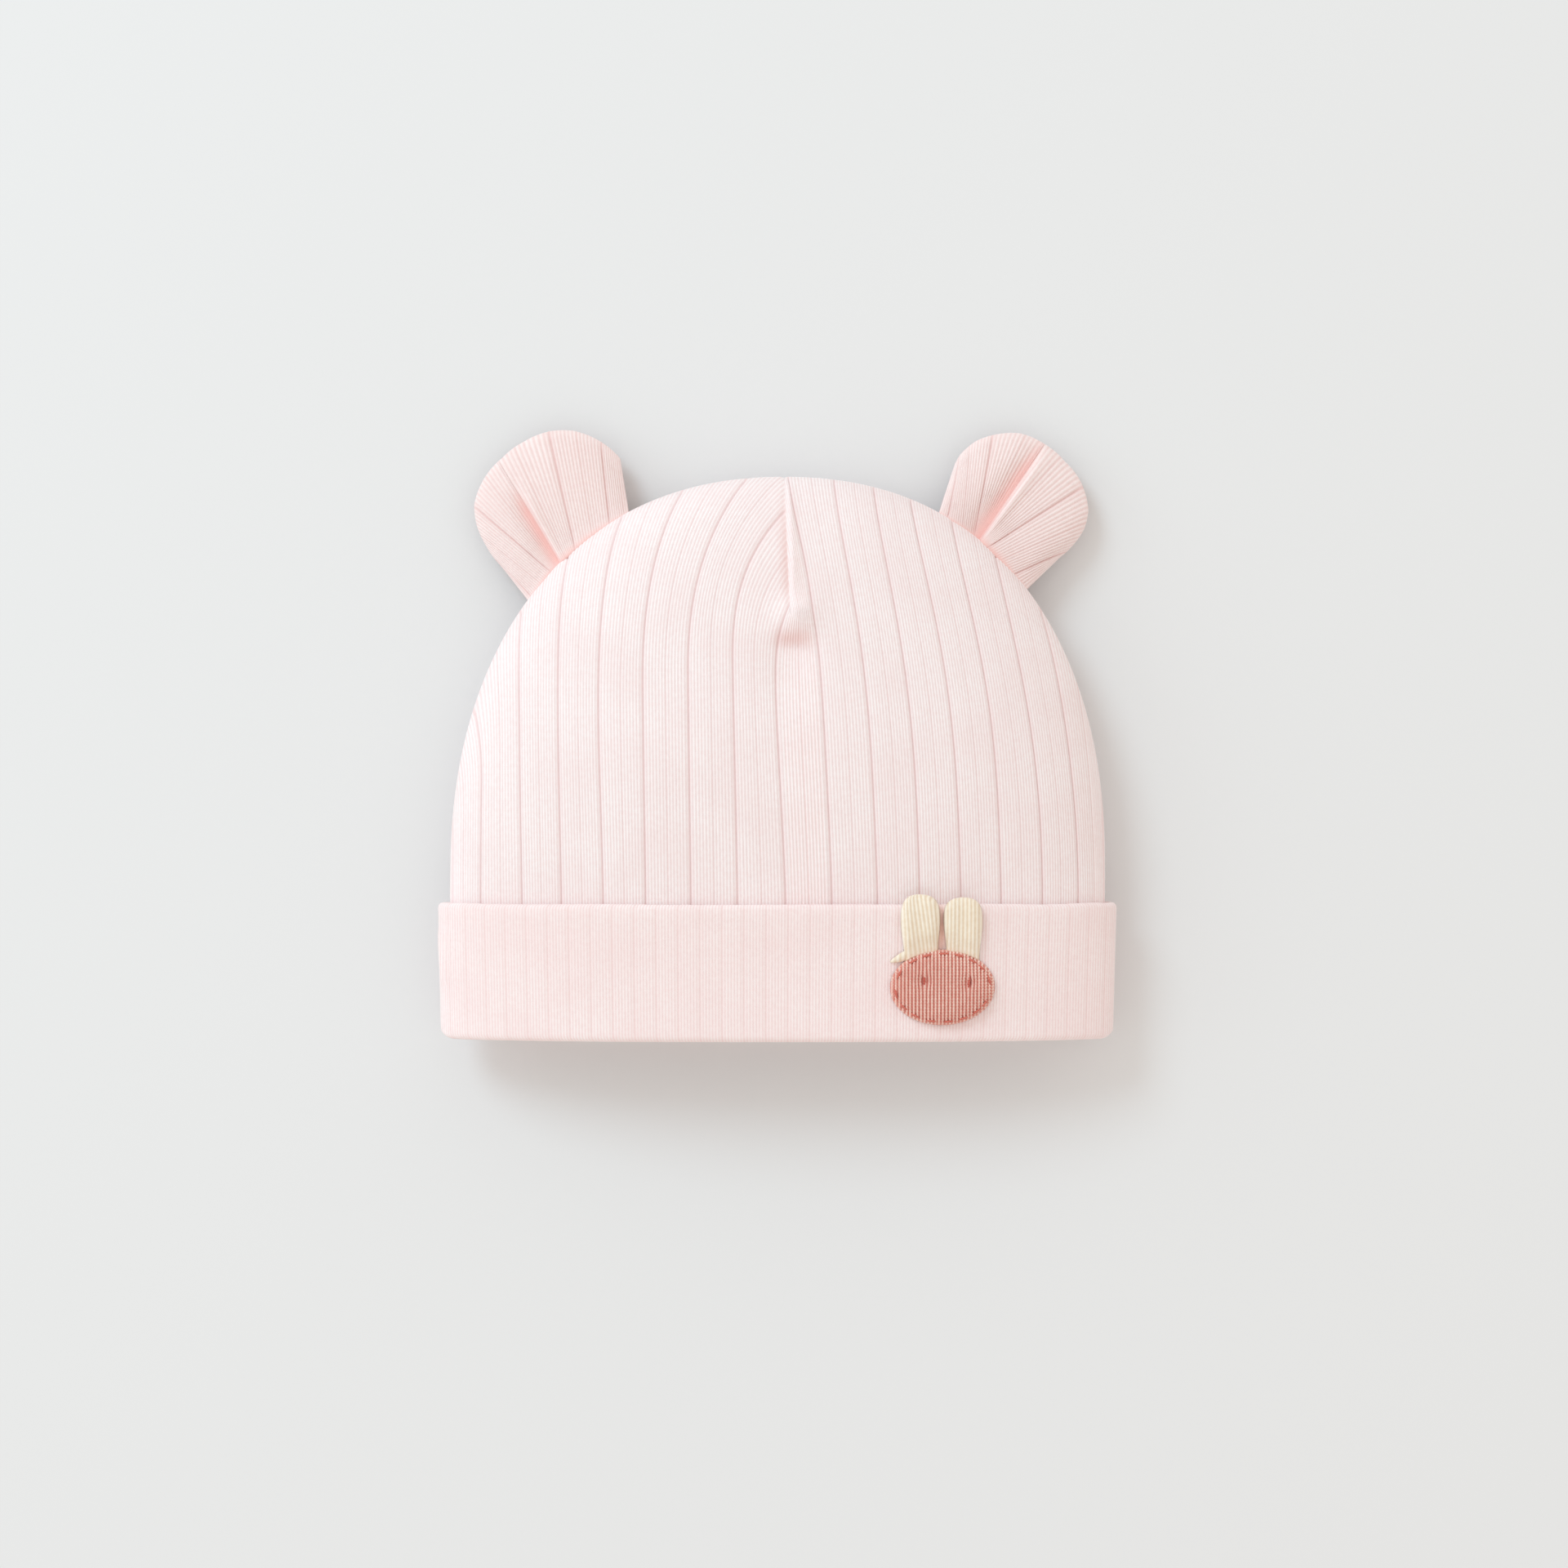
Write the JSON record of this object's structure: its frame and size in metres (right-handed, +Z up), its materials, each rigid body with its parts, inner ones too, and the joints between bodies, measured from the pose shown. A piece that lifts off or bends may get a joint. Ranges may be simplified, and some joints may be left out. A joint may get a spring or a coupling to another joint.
{
  "type": "baby hat with ears",
  "caption": "Ribbed knit baby hat with round padded ears, a turned-up cuff and a small sewn-on rabbit, lying on its back with its mouth open.",
  "frame": {"origin": "centre of the hat's box, on the surface that it lies on", "axes": "+X along the cuff, towards the wearer's left; +Y from the mouth to the top of the crown; +Z up from the surface, out of the hat's front"},
  "size_m": [0.175, 0.1566, 0.0345],
  "materials": {
    "pink_rib_knit": "soft cotton rib knit, matt",
    "pink_knit_reverse": "reverse of the rib knit, fine wales, matt",
    "rose_rib_knit": "coarse rib knit, matt",
    "cream_knit": "fine cream knit, matt"
  },
  "bodies": {
    "root": {"crown": "pink_rib_knit", "cuff": "pink_knit_reverse", "ear_left": "pink_rib_knit", "ear_right": "pink_rib_knit", "rabbit_face": "rose_rib_knit", "rabbit_ear_left": "cream_knit", "rabbit_ear_right": "cream_knit"}
  },
  "joints": []
}
